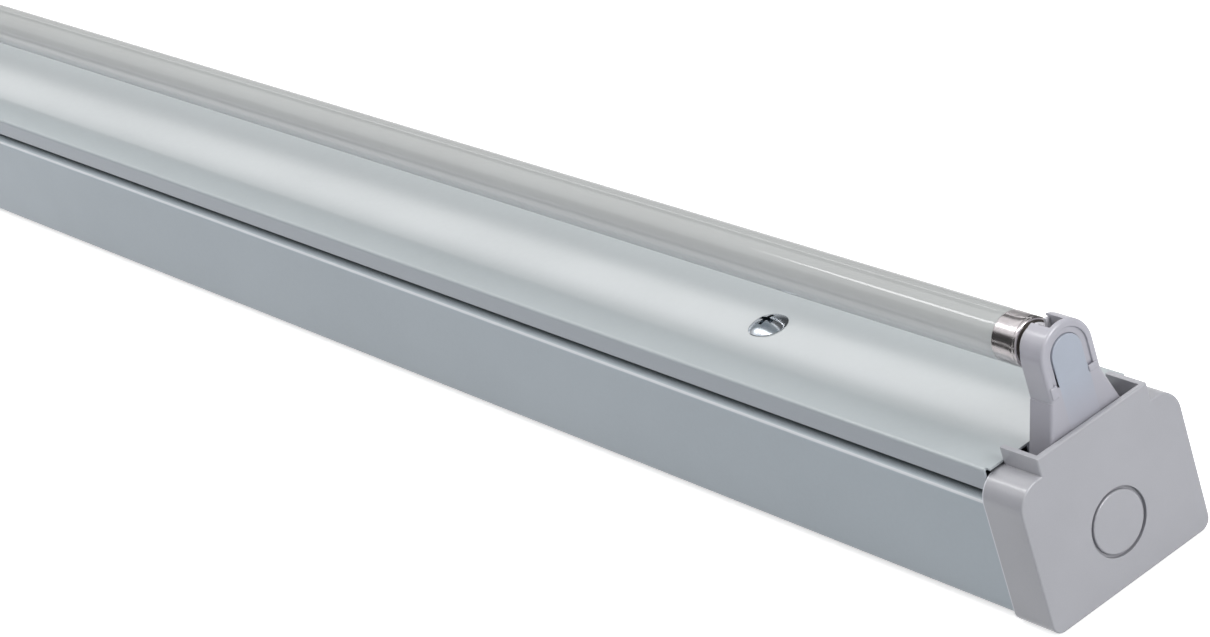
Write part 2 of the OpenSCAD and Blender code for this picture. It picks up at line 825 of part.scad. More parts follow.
module holder_section() {
    arch_section(head_half, flare_z);
    step_half = head_half + flare_step;
    polygon([[-step_half, flare_z], [-foot_half, flare_end_z], [-foot_half, foot_z],
        [foot_half, foot_z], [foot_half, flare_end_z], [step_half, flare_z]]);
}

module cover_section(inset) {
    arch_section(cover_half - inset, cover_low + inset);
}

module lampholder() {
    pocket = holder_front + cover_set + cover_t;
    difference() {
        union() {
            along_x(-holder_back, -holder_front) holder_section();
            spigot_place() translate([0, 0, -spigot_len]) {
                translate([0, 0, 1]) cylinder(h = spigot_len, r = spigot_r);
                cylinder(h = spigot_len - sheet_t - 0.1, r1 = spigot_r - 0.4, r2 = spigot_r + 0.8);
            }
        }
        along_x(-pocket, -holder_front + 1) cover_section(0);
        along_x(-holder_back + rotor_bore_deep, -pocket + 1) cover_section(cover_half - chamber_half);
        translate([0, 0, lamp_z]) bar_x(-holder_back - 1, -holder_back + rotor_bore_deep, rotor_bore_r);
        block([-holder_back - 1, -mouth_half, lamp_z], [-holder_front - front_wall, mouth_half, head_top + 1]);
        along_x(-holder_front - arch_deep, -holder_front + 1) difference() {
            arch_section(arch_r, arch_end_z);
            translate([-cover_half, 0]) square([2 * cover_half, lamp_z]);
        }
        for (side = [-1, 1]) {
            translate([0, side * lead_end_y, bracket_hole_z])
                bar_x(-holder_back - 1, -holder_back + 3, lead_r + 0.2);
        }
    }
}

// The cover closes the chamber of the contacts
module holder_cover() {
    front = holder_front + cover_set;
    along_x(-front - cover_t, -front) cover_section(0.05);
}

module lampholder_near() color("gainsboro") near_end() lampholder();
module lampholder_far() color("gainsboro") far_end() lampholder();
module holder_cover_near() color("lightsteelblue") near_end() holder_cover();
module holder_cover_far() color("lightsteelblue") far_end() holder_cover();

// Two flat springs, one on each side of the pins. Turned pins press them apart.
module lamp_contacts() {
    for (side = [0, 1]) mirror([0, side, 0]) translate([0, contact_y, 0]) rotate([90, 0, 0])
        translate([0, 0, -contact_t]) linear_extrude(contact_t) {
            translate([-contact_back, contact_foot_z]) square([contact_w, lamp_z - contact_foot_z]);
            translate([contact_tip - boss_face, lamp_z - contact_h / 2])
                square([boss_face - contact_tip - contact_back + contact_w, contact_h]);
        }
}

module lamp_contacts_near() color("darkgoldenrod") near_end() lamp_contacts();
module lamp_contacts_far() color("darkgoldenrod") far_end() lamp_contacts();

// The rotor turns with the lamp. Its slot is open at the top when the lamp can be lifted out.
module rotor() {
    slot_low = pin_pitch / 2 + pin_r + 0.25;
    translate([0, 0, lamp_z]) difference() {
        union() {
            bar_x(-holder_back + seat_gap, -holder_back + seat_gap + rotor_flange_t, rotor_flange_r);
            bar_x(-boss_face, -holder_back + seat_gap + eps, rotor_boss_r);
        }
        bar_x(-boss_face + 1, -holder_back + rotor_flange_t + 2, rotor_inner_r);
        block([-boss_face - 1, -rotor_slot / 2, -slot_low],
            [-holder_back + rotor_flange_t + 2, rotor_slot / 2, rotor_flange_r + 1]);
    }
}

module rotor_near() color("whitesmoke") near_end() rotor();
module rotor_far() color("whitesmoke") far_end() rotor();

// Leads

// Two leads run side by side from a terminal strip to the contacts in a lampholder
module lamp_leads(from, to, entries) {
    away = sign(to - from);
    rise_to = from + away * (lead_straight + lead_rise);
    level = to - away * lead_low;
    for (k = [0, 1]) {
        lane = lead_run_y + k * lead_step;
        end_y = (2 * k - 1) * lead_end_y;
        lead([[from, entries[k], strip_lead_z], [from + away * lead_straight, entries[k], strip_lead_z],
            [rise_to, lane, lead_run_z], [level - away * (lead_drop + lead_rise), lane, lead_run_z],
            [level - away * lead_drop, lane, lead_run_z], [level, end_y, bracket_hole_z + 2],
            [level + away * lead_low / 2, end_y, bracket_hole_z], [to, end_y, bracket_hole_z]], lead_r);
    }
}

module lamp_leads_near() color("white") {
    lamp_leads(near_strip_x - strip_depth, half_len - contact_back - 0.1, lamp_entries);
}

module lamp_leads_far() color("white") {
    lamp_leads(far_strip_x + strip_depth, contact_back + 0.1 - half_len, far_entries);
}

module mains_leads() color("royalblue") {
    from = block_to - 7;
    to = far_strip_x + strip_depth;
    for (pole = [-1:1]) {
        entry = mains_entries[pole + 1];
        lead([[from, pole * pole_pitch, block_lead_z], [from + lead_straight, pole * pole_pitch, block_lead_z],
            [to - lead_straight, entry, strip_lead_z], [to, entry, strip_lead_z]], lead_r);
    }
}

// Saddle clips stuck to the underside of the tray, round the lamp leads
module lead_clip() {
    middle = lead_run_y + lead_step / 2;
    room = 2 * lead_r + 0.3;
    inner_w = lead_step + 2 * lead_r + 0.4;
    difference() {
        block([-clip_len / 2, middle - clip_w / 2, tray_under - room - clip_roof],
            [clip_len / 2, middle + clip_w / 2, tray_under]);
        block([-clip_len / 2 - 1, middle - inner_w / 2, tray_under - room],
            [clip_len / 2 + 1, middle + inner_w / 2, tray_under + 1]);
    }
}

module lead_clips() color("white") {
    last = half_len - contact_back - lead_low - lead_drop - lead_rise - clip_len;
    near_from = near_strip_x + clip_clear;
    near_to = last;
    far_from = far_strip_x - clip_clear;
    far_to = -last;
    for (x = [near_from:clip_pitch:near_to]) translate([x, 0, 0]) lead_clip();
    for (x = [far_from:-clip_pitch:far_to]) translate([x, 0, 0]) lead_clip();
}

// Lamp

module lamp_tube() color("white") {
    translate([0, 0, lamp_z]) difference() {
        union() {
            bar_x(-cap_seat, cap_seat, lamp_r);
            bar_x(-glass_end, glass_end, glass_neck_r);
        }
        bar_x(-glass_end + glass_t, glass_end - glass_t, glass_neck_r - glass_t);
        bar_x(-cap_seat + glass_t, cap_seat - glass_t, lamp_r - glass_t);
        for (side = [0, 1]) mirror([side, 0, 0]) bar_x(glass_end - 2 * glass_t, glass_end + 1, stem_r + 0.1);
    }
}

// Children are drawn with the lamp's near cap face at x = 0 and its axis at z = 0
module near_lamp_end() {
    translate([lamp_len / 2, 0, lamp_z]) children();
}

module far_lamp_end() {
    mirror([1, 0, 0]) near_lamp_end() children();
}

module lamp_cap() {
    difference() {
        bar_x(-lamp_cap_len + 0.02, 0, lamp_r);
        bar_x(-lamp_cap_len - 1, -lamp_cap_t, lamp_r - lamp_cap_t);
        bar_x(-1, 1, lamp_r - cap_rim);
    }
}

// The disc fills the opening of the cap and has a low step that seats behind the rim
module lamp_disc() {
    difference() {
        union() {
            bar_x(-disc_t, -lamp_cap_t - 0.02, lamp_r - lamp_cap_t - 0.05);
            bar_x(-disc_t, -0.1, lamp_r - cap_rim - 0.05);
        }
        pin_places() bar_x(-disc_t - 1, 1, pin_r + 0.02);
    }
}

module pin_places() {
    for (side = [-1, 1]) translate([0, 0, side * pin_pitch / 2]) children();
}

module lamp_pins() {
    pin_places() {
        bar_x(-disc_t, pin_len - pin_r / 2, pin_r);
        translate([pin_len - pin_r / 2, 0, 0]) rotate([0, 90, 0]) cylinder(h = pin_r / 2, r1 = pin_r, r2 = pin_r / 2);
    }
}

// The glass stem passes through the tube's end and holds two support wires
module lamp_stem() {
    foot = glass_end - lamp_len / 2;
    tip = foot - stem_len;
    bar_x(tip, foot, stem_r);
    block([tip, -coil_len / 2, -0.8], [tip + press_len, coil_len / 2, 0.8]);
    for (side = [-1, 1]) translate([0, side * (coil_len / 2 - 0.5), 0]) bar_x(tip - wire_len, tip + 1, wire_r);
}

// The electrode is a dense coil across the two support wires
module lamp_coil() {
    translate([glass_end - lamp_len / 2 - stem_len - wire_len - coil_r, 0, 0]) rotate([90, 0, 0])
        cylinder(h = coil_len, r = coil_r, center = true);
}

module lamp_cap_near() color("silver") near_lamp_end() lamp_cap();
module lamp_cap_far() color("silver") far_lamp_end() lamp_cap();
module lamp_disc_near() color("dimgray") near_lamp_end() lamp_disc();
module lamp_disc_far() color("dimgray") far_lamp_end() lamp_disc();
module lamp_pins_near() color("gold") near_lamp_end() lamp_pins();
module lamp_pins_far() color("gold") far_lamp_end() lamp_pins();
module lamp_stem_near() color("azure") near_lamp_end() lamp_stem();
module lamp_stem_far() color("azure") far_lamp_end() lamp_stem();
module lamp_coil_near() color("gray") near_lamp_end() lamp_coil();
module lamp_coil_far() color("gray") far_lamp_end() lamp_coil();

// Quarter-turn fasteners

module turn_fastener() {
    dome_r = (fastener_r * fastener_r + fastener_h * fastener_h) / (2 * fastener_h);
    head_z = tray_z + seat_gap;
    difference() {
        union() {
            intersection() {
                translate([0, 0, head_z + fastener_h - dome_r]) sphere(dome_r, $fn = 96);
                translate([0, 0, head_z]) cylinder(h = fastener_h + 1, r = fastener_r);
            }
            translate([0, 0, lock_z - shank_tip]) cylinder(h = head_z - lock_z + shank_tip + eps, r = shank_r);
        }
        for (turn = [0, 90]) rotate([0, 0, turn]) {
            translate([0, 0, head_z + fastener_h]) cube([cross_len, cross_w, 2 * cross_deep], center = true);
        }
        translate([0, 0, lock_z]) rotate([0, 90, 0]) cylinder(h = 6 * shank_r, r = lock_r + 0.02, center = true);
    }
}

module lock_pin() {
    translate([0, 0, lock_z]) rotate([0, 90, 0]) cylinder(h = lock_len, r = lock_r, center = true);
}

module turn_fastener_near() color("silver") translate([fastener_x, 0, 0]) turn_fastener();
module turn_fastener_far() color("silver") translate([-fastener_x, 0, 0]) turn_fastener();
module lock_pin_near() color("silver") translate([fastener_x, 0, 0]) lock_pin();
module lock_pin_far() color("silver") translate([-fastener_x, 0, 0]) lock_pin();

spine();
end_cap_near();
end_cap_far();
fastener_bridge_near();
fastener_bridge_far();
bridge_rivets();
cable_grommet();
gear_tray();
holder_bracket_near();
holder_bracket_far();
weld_studs();
stud_nuts();
ballast_case();
ballast_board();
ballast_components();
ballast_terminals_near();
ballast_terminals_far();
terminal_block();
terminal_screws();
earth_tag();
fastener_washers();
lampholder_near();
lampholder_far();
holder_cover_near();
holder_cover_far();
lamp_contacts_near();
lamp_contacts_far();
lamp_leads_near();
lamp_leads_far();
mains_leads();
lead_clips();
rotor_near();
rotor_far();
lamp_tube();
lamp_cap_near();
lamp_cap_far();
lamp_disc_near();
lamp_disc_far();
lamp_pins_near();
lamp_pins_far();
lamp_stem_near();
lamp_stem_far();
lamp_coil_near();
lamp_coil_far();
turn_fastener_near();
turn_fastener_far();
lock_pin_near();
lock_pin_far();
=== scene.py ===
# Batten light for one slim fluorescent tube: finishes, rounded edges, fine pieces, light and camera
import bpy
import bmesh
import json
import math
from mathutils import Matrix, Vector


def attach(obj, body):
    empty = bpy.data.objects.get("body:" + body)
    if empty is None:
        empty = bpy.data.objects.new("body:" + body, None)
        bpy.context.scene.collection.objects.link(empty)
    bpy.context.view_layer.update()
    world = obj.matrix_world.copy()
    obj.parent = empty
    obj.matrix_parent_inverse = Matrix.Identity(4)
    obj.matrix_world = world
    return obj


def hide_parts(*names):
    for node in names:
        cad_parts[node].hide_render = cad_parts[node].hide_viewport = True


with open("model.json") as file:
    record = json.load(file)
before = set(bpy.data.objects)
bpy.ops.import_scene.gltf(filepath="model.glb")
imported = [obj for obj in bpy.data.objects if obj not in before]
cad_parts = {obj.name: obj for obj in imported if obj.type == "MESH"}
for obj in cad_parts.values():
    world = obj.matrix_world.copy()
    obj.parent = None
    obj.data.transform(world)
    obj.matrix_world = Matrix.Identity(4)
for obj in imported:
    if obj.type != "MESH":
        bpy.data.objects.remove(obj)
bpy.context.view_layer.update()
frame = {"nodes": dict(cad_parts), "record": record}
nodes = frame["nodes"]
bodyOf = {name: body for body, names in frame["record"]["behaviour"]["bodies"].items()
          for name in names}
slotOf = {part["node"]: part["material_slot"] for part in frame["record"]["subparts"]}
mm = 0.001
print("frame loaded:", len(nodes), "nodes")


# Camera: at the photograph's angle, near the end of the light
cameraView = {
    "place": (1.3262565, -0.5563142, 0.57922569),
    "turn": (0.7904290798, 0.4096234507, 0.3385131231, 0.3046955265),
    "lens": 107.4875,
    "sensor": 36,
    "clip": (0.01, 50),
}
eye = bpy.data.objects.new("eye", bpy.data.cameras.new("eye"))
eye.location = cameraView["place"]
eye.rotation_mode = "QUATERNION"
eye.rotation_quaternion = cameraView["turn"]
eye.data.lens = cameraView["lens"]
eye.data.sensor_width = cameraView["sensor"]
eye.data.clip_start, eye.data.clip_end = cameraView["clip"]
bpy.context.scene.collection.objects.link(eye)
bpy.context.scene.camera = eye
print("camera placed")


def linear(hexColour):
    parts = [int(hexColour[at:at + 2], 16) / 255 for at in (1, 3, 5)]
    return [p / 12.92 if p <= 0.04045 else ((p + 0.055) / 1.055) ** 2.4 for p in parts] + [1.0]


def addNode(tree, kind, settings=None, inputs=None):
    made = tree.nodes.new(kind)
    for name, value in (settings or {}).items():
        setattr(made, name, value)
    for name, value in (inputs or {}).items():
        if isinstance(value, bpy.types.NodeSocket):
            tree.links.new(value, made.inputs[name])
        else:
            made.inputs[name].default_value = value
    return made


# Finishes. This is what each has where its look doesn't say otherwise.
plainLook = {"stretch": (1, 1, 1), "fleckShare": 0.25, "relief": 0.4, "metal": 0, "ior": 1.5,
             "coat": 0, "coatRough": 0.05, "milky": 0, "milkyDepth": 1}
# The part of each pattern's range that is put to use, and how fine the patterns are
patternUse = {"patches": (0.35, 0.65), "flecks": (0.3, 0.75), "sheen": (0.3, 0.7),
              "paintedShadeOpenness": (0.35, 0.8), "patchDetail": 3.0, "grainDetail": 2.0, "paintedShadeOpennessSamples": 8}


# Every look gives two colours that drift into each other over "patch" millimetres, a grain of
# "grain" millimetres that is "depth" millimetres deep, and a range of roughness
def finishMaterial(name, givenLook):
    look = {**plainLook, "fleck": givenLook["deep"], **givenLook}
    material = bpy.data.materials.new(name)
    material.use_nodes = True
    tree = material.node_tree
    shader = tree.nodes["Principled BSDF"]
    place = addNode(tree, "ShaderNodeTexCoord")
    run = addNode(tree, "ShaderNodeMapping", None,
                  {"Vector": place.outputs["Object"], "Scale": look["stretch"]})
    patches = addNode(tree, "ShaderNodeTexNoise", None,
                      {"Vector": place.outputs["Object"], "Scale": 1 / (look["patch"] * mm),
                       "Detail": patternUse["patchDetail"]})
    grain = addNode(tree, "ShaderNodeTexNoise", None,
                    {"Vector": run.outputs["Vector"], "Scale": 1 / (look["grain"] * mm),
                     "Detail": patternUse["grainDetail"]})
    spread = addNode(tree, "ShaderNodeMapRange", None,
                     {"Value": patches.outputs["Fac"], "From Min": patternUse["patches"][0],
                      "From Max": patternUse["patches"][1]})
    drift = addNode(tree, "ShaderNodeMix", {"data_type": "RGBA"},
                    {0: spread.outputs["Result"], 6: linear(look["pale"]), 7: linear(look["deep"])})
    fleck = addNode(tree, "ShaderNodeMapRange", None,
                    {"Value": grain.outputs["Fac"], "From Min": patternUse["flecks"][0],
                     "From Max": patternUse["flecks"][1], "To Max": look["fleckShare"]})
    colour = addNode(tree, "ShaderNodeMix", {"data_type": "RGBA"},
                     {0: fleck.outputs["Result"], 6: drift.outputs[2], 7: linear(look["fleck"])})
    sheen = addNode(tree, "ShaderNodeMapRange", None,
                    {"Value": patches.outputs["Fac"], "From Min": patternUse["sheen"][0],
                     "From Max": patternUse["sheen"][1],
                     "To Min": look["rough"][0], "To Max": look["rough"][1]})
    relief = addNode(tree, "ShaderNodeBump", None,
                     {"Height": grain.outputs["Fac"], "Strength": look["relief"],
                      "Distance": look["depth"] * mm})
    # A second colour is painted light or shade: painted shade below the first by height (fade),
    # except on the lamp tube where it is painted light, and a painted highlight nearer the middle
    # of the light (rim) or beyond it by distance out plus height (fold). It gives way between two
    # measures in mm.
    for band in ("fade", "fold", "rim"):
        if band not in look:
            continue
        spot = addNode(tree, "ShaderNodeSeparateXYZ", None, {0: place.outputs["Object"]})
        measure = spot.outputs["Z"]
        if band != "fade":
            side = addNode(tree, "ShaderNodeMath", {"operation": "ABSOLUTE"},
                           {0: spot.outputs["X" if band == "rim" else "Y"]})
            measure = side.outputs[0]
        if band == "fold":
            reach = addNode(tree, "ShaderNodeMath", {"operation": "ADD"},
                            {0: measure, 1: spot.outputs["Z"]})
            measure = reach.outputs[0]
        share = addNode(tree, "ShaderNodeMapRange", {"interpolation_type": "SMOOTHSTEP"},
                        {"Value": measure, "From Min": look[band][0] * mm,
                         "From Max": look[band][1] * mm})
        below, beyond = linear(look[band + "Colour"]), colour.outputs[2]
        if band == "fold":
            below, beyond = beyond, below
        colour = addNode(tree, "ShaderNodeMix", {"data_type": "RGBA"},
                         {0: share.outputs["Result"], 6: below, 7: beyond})
    # Painted shade: recesses and gaps are darkened where something else is nearer than the painted
    # shade reach, in millimetres
    if "paintedShadeReach" in look:
        paintedShadeOpenness = addNode(tree, "ShaderNodeAmbientOcclusion",
                           {"samples": patternUse["paintedShadeOpennessSamples"]},
                           {"Distance": look["paintedShadeReach"] * mm})
        share = addNode(tree, "ShaderNodeMapRange", None,
                        {"Value": paintedShadeOpenness.outputs["AO"], "From Min": patternUse["paintedShadeOpenness"][0],
                         "From Max": patternUse["paintedShadeOpenness"][1]})
        colour = addNode(tree, "ShaderNodeMix", {"data_type": "RGBA"},
                         {0: share.outputs["Result"], 6: linear(look["paintedShadeReachColour"]),
                          7: colour.outputs[2]})
    tree.links.new(colour.outputs[2], shader.inputs["Base Color"])
    tree.links.new(sheen.outputs["Result"], shader.inputs["Roughness"])
    tree.links.new(relief.outputs["Normal"], shader.inputs["Normal"])
    shader.inputs["Metallic"].default_value = look["metal"]
    if not look["metal"]:
        shader.inputs["IOR"].default_value = look["ior"]
    shader.inputs["Coat Weight"].default_value = look["coat"]
    shader.inputs["Coat Roughness"].default_value = look["coatRough"]
    shader.inputs["Subsurface Weight"].default_value = look["milky"]
    shader.inputs["Subsurface Radius"].default_value = (1, 1, 1)
    shader.inputs["Subsurface Scale"].default_value = look["milkyDepth"] * mm
    return material


# Polyester powder coat on steel: even and satin, with a faint orange peel of about 1.5 mm, a
# painted highlight along the fold of the ledge, and painted shade in its recesses and under the
# tray
spineLook = {"pale": "#ADB6BC", "deep": "#A9B2B8", "fleck": "#B3BCC2", "patch": 70, "grain": 1.4,
             "depth": 0.02, "relief": 0.25, "rough": (0.3, 0.33), "fold": (72.7, 72.82),
             "foldColour": "#D2D5D8", "paintedShadeReach": 3.5, "paintedShadeReachColour": "#23272D"}
# Stove enamel on steel: paler and glossier, so that long soft reflections run along it, with
# painted shade on its side flanges below the top
trayLook = {"pale": "#AFB5B7", "deep": "#ACB2B4", "fleck": "#B3B9BB", "patch": 90, "grain": 2.2,
            "depth": 0.004, "relief": 0.1, "rough": (0.05, 0.056), "fade": (50.8, 52),
            "fadeColour": "#A5ABB1"}
# Injection moulded ABS: light grey with a lilac cast, satin, with a fine spark-eroded grain drawn
# at 0.5 mm, a painted highlight along its thin open rim and painted shade in its recesses
capLook = {"pale": "#A6A6AB", "deep": "#A2A2A7", "fleck": "#ACACB1", "patch": 24, "grain": 0.5,
           "depth": 0.012, "relief": 0.3, "rough": (0.285, 0.33), "ior": 1.52, "milky": 0.1,
           "milkyDepth": 0.8, "coat": 0.5, "coatRough": 0.13, "paintedShadeReach": 1.5,
           "paintedShadeReachColour": "#85858B", "rim": (574.7, 575), "rimColour": "#CFD0D6"}
# Injection moulded PBT: the same grey, a little smoother, with painted shade lower down and in its
# recesses
holderLook = {"pale": "#ADACB4", "deep": "#A9A8B0", "fleck": "#B3B2B9", "patch": 12, "grain": 0.45,
              "depth": 0.01, "relief": 0.3, "rough": (0.285, 0.33), "ior": 1.53, "milky": 0.1,
              "milkyDepth": 0.8, "fade": (56, 76), "fadeColour": "#A1A0A8", "coat": 0.4,
              "coatRough": 0.15, "paintedShadeReach": 1.2, "paintedShadeReachColour": "#7C7B86"}
# The inset cover is moulded from a bluer batch, with painted shade lower down
coverLook = {"pale": "#A6ACB8", "deep": "#A3A9B4", "fleck": "#ABB1BB", "patch": 9, "grain": 0.45,
             "depth": 0.008, "relief": 0.3, "rough": (0.36, 0.44), "ior": 1.53, "milky": 0.1,
             "milkyDepth": 0.8, "fade": (56, 74), "fadeColour": "#A0A0A9"}
# Moulded white PBT of the turning rotor, polished where the lamp rubs it
rotorLook = {"pale": "#CFCED3", "deep": "#C8C7CC", "patch": 5, "grain": 0.4, "depth": 0.006,
             "rough": (0.28, 0.38), "ior": 1.53, "milky": 0.15, "milkyDepth": 0.8}
# Bright zinc plate with a clear passivate: bluish silver, cloudy over a few millimetres, with
# painted shade in its recesses
zincLook = {"pale": "#D6DCE2", "deep": "#B4BDC6", "fleck": "#C9CEDA", "patch": 3.5, "grain": 0.35,
            "depth": 0.004, "relief": 0.25, "rough": (0.12, 0.24), "metal": 1, "paintedShadeReach": 2.5,
            "paintedShadeReachColour": "#59646B"}
# Moulded neoprene of the cable bush: dark and dull with a little bloom
bushLook = {"pale": "#3A3B3D", "deep": "#2E2F31", "fleck": "#4A4B4D", "patch": 6, "grain": 0.4,
            "depth": 0.02, "rough": (0.6, 0.75), "ior": 1.52}
# Rubber sheet that the washers are punched from: the same, a little paler
washerLook = {"pale": "#46484A", "deep": "#3A3C3E", "fleck": "#585A5C", "patch": 4, "grain": 0.35,
              "depth": 0.02, "rough": (0.62, 0.78), "ior": 1.5}
# Thin white paint on the folded ballast case
ballastLook = {"pale": "#E6E7E3", "deep": "#DEDFDB", "fleck": "#EDEEEB", "patch": 40, "grain": 0.9,
               "depth": 0.012, "rough": (0.36, 0.46)}
# Glass-cloth board under green lacquer, with the weave showing through at 0.6 mm
boardLook = {"pale": "#2F6B46", "deep": "#285E3D", "fleck": "#3F8058", "patch": 8, "grain": 0.6,
             "depth": 0.01, "stretch": (1, 0.35, 1), "fleckShare": 0.45, "rough": (0.28, 0.38),
             "ior": 1.55, "coat": 0.4, "coatRough": 0.15}
# Moulded epoxy of the parts on the board
componentLook = {"pale": "#2A2B2E", "deep": "#222326", "fleck": "#3A3B3F", "patch": 5, "grain": 0.3,
                 "depth": 0.01, "rough": (0.4, 0.55), "ior": 1.55}
# Moulded nylon of the push-in terminals
terminalLook = {"pale": "#E07B22", "deep": "#D4701B", "fleck": "#E88C3C", "patch": 6, "grain": 0.35,
                "depth": 0.008, "rough": (0.34, 0.44), "ior": 1.53, "milky": 0.12,
                "milkyDepth": 0.8}
# Moulded polyamide of the supply terminal block
blockLook = {"pale": "#E8E2D2", "deep": "#E0D9C7", "fleck": "#EFEADC", "patch": 7, "grain": 0.35,
             "depth": 0.008, "rough": (0.36, 0.46), "ior": 1.53, "milky": 0.15, "milkyDepth": 0.8}
# Tin plate on brass: warm silver, slightly dull
tinLook = {"pale": "#CFC9B8", "deep": "#B9B29E", "fleck": "#DAD6CA", "patch": 2.5, "grain": 0.25,
           "depth": 0.004, "rough": (0.28, 0.4), "metal": 1}
# Rolled phosphor bronze of the contact springs, with the rolling lines along the strip
bronzeLook = {"pale": "#C98F5E", "deep": "#B57C4C", "fleck": "#D6A578", "patch": 3, "grain": 0.3,
              "depth": 0.003, "stretch": (1, 1, 0.12), "rough": (0.28, 0.38), "metal": 1}
# Extruded PVC insulation of the leads: smooth, with faint draw lines along them
leadWhiteLook = {"pale": "#E7E7E3", "deep": "#DDDDD8", "patch": 15, "grain": 0.3, "depth": 0.006,
                 "stretch": (0.1, 1, 1), "rough": (0.32, 0.42), "ior": 1.53}
# The same insulation in blue
leadBlueLook = {"pale": "#3D6FB4", "deep": "#33629F", "patch": 15, "grain": 0.3, "depth": 0.006,
                "stretch": (0.1, 1, 1), "rough": (0.32, 0.42), "ior": 1.53}
# Moulded natural nylon of the clips, a little milky
clipLook = {"pale": "#EFEEE6", "deep": "#E6E4DA", "patch": 5, "grain": 0.3, "depth": 0.006,
            "rough": (0.34, 0.44), "ior": 1.53, "milky": 0.25, "milkyDepth": 1.2}
# Drawn soda-lime glass over a phosphor coat: the coat is pale grey and matt, and painted light
# makes its lower part paler; the glass over it is clear and sharp
tubeLook = {"pale": "#9DA09F", "deep": "#9A9C9B", "fleck": "#A1A3A2", "patch": 60, "grain": 6,
            "depth": 0.001, "relief": 0.1, "rough": (0.5, 0.56), "ior": 1.5, "coat": 1,
            "coatRough": 0.03, "fade": (75, 89), "fadeColour": "#CFD1D1"}
# Drawn aluminium of the lamp caps: bright, with fine turned lines round it at 0.25 mm
aluminiumLook = {"pale": "#D2CDCE", "deep": "#C2BCBE", "fleck": "#DEDADB", "patch": 4, "grain": 0.6,
                 "depth": 0.002, "stretch": (2.4, 0.2, 0.2), "relief": 0.3, "rough": (0.17, 0.25),
                 "metal": 1}
# Pressed phenolic insulating disc: dark, dull, with a fibrous fleck
discLook = {"pale": "#4A443F", "deep": "#3D3833", "fleck": "#6A625A", "patch": 2, "grain": 0.25,
            "depth": 0.01, "fleckShare": 0.5, "rough": (0.5, 0.62), "ior": 1.6}
# Drawn brass of the pins, tarnished in small patches
pinLook = {"pale": "#D9C58E", "deep": "#C3AC70", "fleck": "#E3D4A6", "patch": 1.2, "grain": 0.2,
           "depth": 0.002, "stretch": (0.15, 1, 1), "rough": (0.16, 0.26), "metal": 1}
# Pressed lead-free glass of the stems, greyed by the pump stem's smoke
stemLook = {"pale": "#B8C2C2", "deep": "#A7B2B2", "fleck": "#C6CFCF", "patch": 4, "grain": 1.5,
            "depth": 0.004, "rough": (0.06, 0.14), "ior": 1.5, "coat": 0.6, "milky": 0.3,
            "milkyDepth": 2}
# Drawn tungsten of the electrode, greyed by its oxide
tungstenLook = {"pale": "#8E8C88", "deep": "#76746F", "fleck": "#A3A19C", "patch": 0.8,
                "grain": 0.1, "depth": 0.002, "rough": (0.35, 0.5), "metal": 1}

finishes = {
    "spine_coat": finishMaterial("powderCoatedSteel", spineLook),
    "tray_coat": finishMaterial("stoveEnamelledSteel", trayLook),
    "cap_plastic": finishMaterial("mouldedAbsGrey", capLook),
    "holder_plastic": finishMaterial("mouldedPbtGrey", holderLook),
    "cover_plastic": finishMaterial("mouldedPbtBluish", coverLook),
    "rotor_plastic": finishMaterial("mouldedPbtWhite", rotorLook),
    "zinc_steel": finishMaterial("zincPlatedSteel", zincLook),
    "grommet_rubber": finishMaterial("mouldedNeoprene", bushLook),
    "washer_rubber": finishMaterial("punchedRubber", washerLook),
    "ballast_coat": finishMaterial("whitePaintedSteel", ballastLook),
    "board_resin": finishMaterial("lacqueredGlassBoard", boardLook),
    "component_black": finishMaterial("mouldedEpoxyBlack", componentLook),
    "terminal_orange": finishMaterial("mouldedNylonOrange", terminalLook),
    "block_plastic": finishMaterial("mouldedPolyamideIvory", blockLook),
    "tinned_brass": finishMaterial("tinnedBrass", tinLook),
    "contact_bronze": finishMaterial("rolledBronze", bronzeLook),
    "lead_white": finishMaterial("extrudedPvcWhite", leadWhiteLook),
    "lead_blue": finishMaterial("extrudedPvcBlue", leadBlueLook),
    "clip_nylon": finishMaterial("mouldedNylonNatural", clipLook),
    "lamp_glass": finishMaterial("phosphorCoatedGlass", tubeLook),
    "lamp_aluminium": finishMaterial("drawnAluminium", aluminiumLook),
    "disc_resin": finishMaterial("pressedPhenolic", discLook),
    "pin_brass": finishMaterial("drawnBrass", pinLook),
    "stem_glass": finishMaterial("pressedGlass", stemLook),
    "coil_tungsten": finishMaterial("drawnTungsten", tungstenLook),
}
for name, node in nodes.items():
    node.data.materials.clear()
    node.data.materials.append(finishes[slotOf[name]])
print("finishes made:", len(finishes))


# Pieces. Angles between faces are in degrees, and distances that count as none in metres.
edgeAngles = {"flat": 0.5, "sharp": 28, "moulded": 40, "turned": 50}
closeTo = {"weld": 1e-6, "plane": 1e-5, "circle": 5e-5}


def standFor(piece, nodeName):
    # Gives a piece the finish, the slot and the body of the node that it stands for
    bpy.context.scene.collection.objects.link(piece)
    piece.data.materials.append(finishes[slotOf[nodeName]])
    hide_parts(nodeName)
    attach(piece, bodyOf[nodeName])


def addPiece(name, shape, nodeName):
    mesh = bpy.data.meshes.new(name)
    shape.to_mesh(mesh)
    shape.free()
    piece = bpy.data.objects.new(name, mesh)
    standFor(piece, nodeName)
    return piece


def smoothFaces(shape, sharpAngle):
    for face in shape.faces:
        face.smooth = True
    for edge in shape.edges:
        edge.smooth = edge.is_manifold and edge.calc_face_angle(0) < math.radians(sharpAngle)


